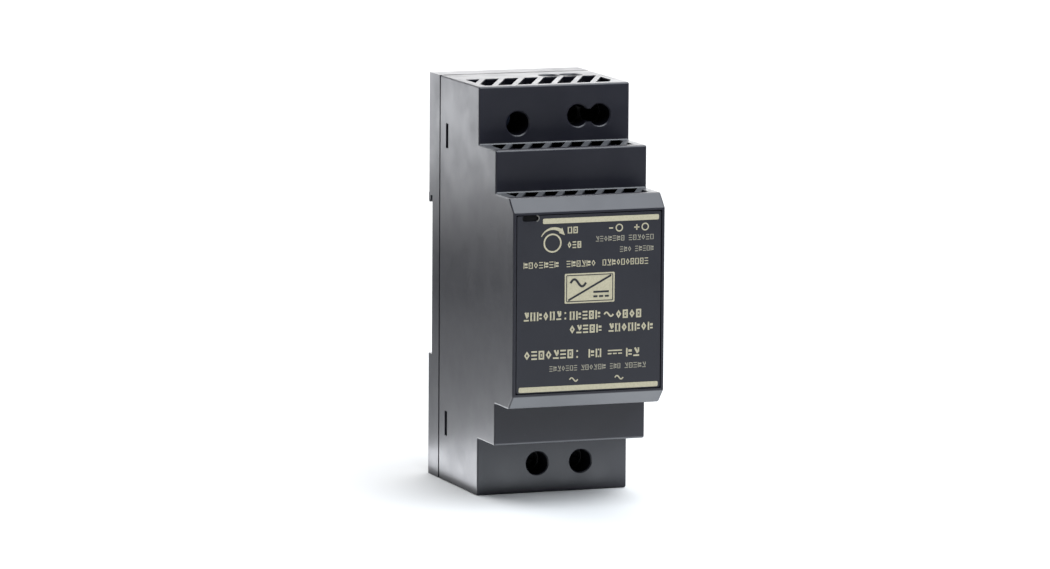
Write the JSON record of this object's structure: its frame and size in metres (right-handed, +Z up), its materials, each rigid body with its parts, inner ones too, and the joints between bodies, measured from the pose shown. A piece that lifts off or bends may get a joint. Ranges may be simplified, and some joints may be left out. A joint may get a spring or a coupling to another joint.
{
  "type": "din rail power supply",
  "caption": "Slim stepped power supply module that clips onto a 35 mm top-hat rail, with screw terminals, vents, an adjuster and a printed front plate.",
  "frame": {"origin": "middle of the rail, on the plane where the rail's lips rest against the case", "axes": "+Z up, along the case's height; +Y towards the rail, so the front faces -Y; +X to the right seen from the front"},
  "size_m": [0.035, 0.0545, 0.09],
  "materials": {
    "housing": "fine satin moulded, charcoal",
    "nameplate": "smooth satin charcoal film with pale gold print",
    "window": "clear moulded",
    "latch": "satin moulded, charcoal",
    "spring_steel": "bright drawn wire",
    "board": "green solder mask over glass laminate",
    "solder": "tinned, dull",
    "ferrite": "dark sintered ceramic",
    "bobbin": "moulded black",
    "winding_tape": "yellow polyester tape",
    "capacitor_sleeve": "dark shrink sleeve",
    "copper": "enamelled copper wire",
    "filter_box": "yellow moulded box",
    "disc_coating": "dipped blue epoxy",
    "thermistor_coating": "dipped dark green-black epoxy",
    "fuse_body": "moulded dark brown",
    "epoxy": "black transfer-moulded epoxy",
    "heatsink": "bent plain sheet",
    "terminal_body": "moulded dark grey",
    "contact": "tinned brass",
    "plated_steel": "zinc plated",
    "terminal_screw": "blackened",
    "trimmer_body": "moulded blue",
    "trimmer_shaft": "moulded off-white",
    "led_lens": "tinted diffused resin"
  },
  "bodies": {
    "case": {"board_header": "bobbin", "bridge_rectifier": "epoxy", "bulk_capacitor": "capacitor_sleeve", "choke_core": "ferrite", "choke_windings": "copper", "control_board": "board", "controller_chip": "epoxy", "front_housing": "housing", "fuse": "fuse_body", "input_contacts": "contact", "input_terminal_block": "terminal_body", "inrush_thermistor": "thermistor_coating", "latch_spring": "spring_steel", "line_filter_capacitor": "filter_box", "main_board": "board", "nameplate": "nameplate", "optocoupler": "epoxy", "output_capacitors": "capacitor_sleeve", "output_contacts": "contact", "output_inductor": "ferrite", "output_rectifier": "epoxy", "output_terminal_block": "terminal_body", "package_screws": "plated_steel", "rear_case": "housing", "rectifier_heatsink": "heatsink", "safety_capacitor": "disc_coating", "solder_joints": "solder", "status_led": "led_lens", "status_window": "window", "surge_varistor": "disc_coating", "switching_transistor": "epoxy", "transformer_bobbin": "bobbin", "transformer_core": "ferrite", "transformer_windings": "winding_tape", "transistor_heatsink": "heatsink", "trimmer_body": "trimmer_body"},
    "rail_latch": {"rail_latch": "latch"},
    "trimmer_shaft": {"trimmer_shaft": "trimmer_shaft"},
    "output_screw_negative": {"output_screw_negative": "terminal_screw"},
    "output_clamp_negative": {"output_clamp_negative": "plated_steel"},
    "output_screw_positive": {"output_screw_positive": "terminal_screw"},
    "output_clamp_positive": {"output_clamp_positive": "plated_steel"},
    "input_screw_neutral": {"input_screw_neutral": "terminal_screw"},
    "input_clamp_neutral": {"input_clamp_neutral": "plated_steel"},
    "input_screw_live": {"input_screw_live": "terminal_screw"},
    "input_clamp_live": {"input_clamp_live": "plated_steel"}
  },
  "joints": [
    {"name": "latch_slide", "type": "slide", "parent": "case", "child": "rail_latch", "axis": [0, 0, -1], "range_m": [0, 0.0032], "stiffness_N_per_m": 1500, "springref_m": -0.002, "deforming": ["latch_spring"]},
    {"name": "trimmer_turn", "type": "hinge", "parent": "case", "child": "trimmer_shaft", "pos_m": [-0.0085, -0.02, 0.0367], "axis": [0, 1, 0], "range_deg": [-120, 120]},
    {"name": "output_negative_screw_turn", "type": "hinge", "parent": "case", "child": "output_screw_negative", "pos_m": [0.00551, -0.022, 0.038], "axis": [0, 1, 0], "range_deg": [0, 1800.01]},
    {"name": "output_negative_clamp_slide", "type": "slide", "parent": "case", "child": "output_clamp_negative", "axis": [0, -1, 0], "range_m": [0, 0.0025]},
    {"name": "output_positive_screw_turn", "type": "hinge", "parent": "case", "child": "output_screw_positive", "pos_m": [0.01059, -0.022, 0.038], "axis": [0, 1, 0], "range_deg": [0, 1800.01]},
    {"name": "output_positive_clamp_slide", "type": "slide", "parent": "case", "child": "output_clamp_positive", "axis": [0, -1, 0], "range_m": [0, 0.0025]},
    {"name": "input_neutral_screw_turn", "type": "hinge", "parent": "case", "child": "input_screw_neutral", "pos_m": [-0.00348, -0.022, -0.0385], "axis": [0, 1, 0], "range_deg": [0, 1800.01]},
    {"name": "input_neutral_clamp_slide", "type": "slide", "parent": "case", "child": "input_clamp_neutral", "axis": [0, -1, 0], "range_m": [0, 0.0025]},
    {"name": "input_live_screw_turn", "type": "hinge", "parent": "case", "child": "input_screw_live", "pos_m": [0.00668, -0.022, -0.0385], "axis": [0, 1, 0], "range_deg": [0, 1800.01]},
    {"name": "input_live_clamp_slide", "type": "slide", "parent": "case", "child": "input_clamp_live", "axis": [0, -1, 0], "range_m": [0, 0.0025]}
  ],
  "couplings": [
    {"joint": "output_negative_screw_turn", "follows": "output_negative_clamp_slide", "rad_per_m": 12566},
    {"joint": "output_positive_screw_turn", "follows": "output_positive_clamp_slide", "rad_per_m": 12566},
    {"joint": "input_neutral_screw_turn", "follows": "input_neutral_clamp_slide", "rad_per_m": 12566},
    {"joint": "input_live_screw_turn", "follows": "input_live_clamp_slide", "rad_per_m": 12566}
  ]
}
